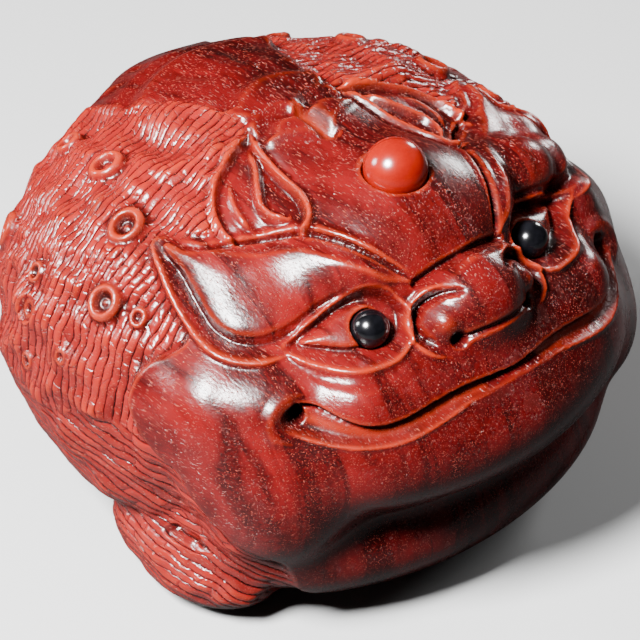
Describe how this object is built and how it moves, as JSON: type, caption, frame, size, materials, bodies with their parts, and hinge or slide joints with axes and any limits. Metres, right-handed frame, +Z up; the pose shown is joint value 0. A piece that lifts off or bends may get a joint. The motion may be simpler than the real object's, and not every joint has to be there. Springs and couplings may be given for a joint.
{
  "type": "carved toad hand piece",
  "caption": "Palm-sized squat toad carved from dense red wood, with a round red bead set in its forehead and black bead eyes; a desk ornament or hand piece that rests on its flat base.",
  "frame": {"origin": "centre of the footprint of the overall box, at the height of the flat base", "axes": "+Z up, the face looks along -Y, +X is the toad's own left side"},
  "size_m": [0.0568, 0.0582, 0.0429],
  "materials": {
    "rosewood": "dense red-brown rosewood, waxed and hand polished to a semi-gloss, fine light pores",
    "red_agate": "polished translucent orange-red agate",
    "black_onyx": "polished opaque black onyx",
    "adhesive": "cured clear adhesive, hidden in the sockets"
  },
  "bodies": {
    "root": {"carved_body": "rosewood", "forehead_bead": "red_agate", "left_eye_bead": "black_onyx", "right_eye_bead": "black_onyx", "forehead_adhesive": "adhesive", "left_eye_adhesive": "adhesive", "right_eye_adhesive": "adhesive"}
  },
  "joints": []
}
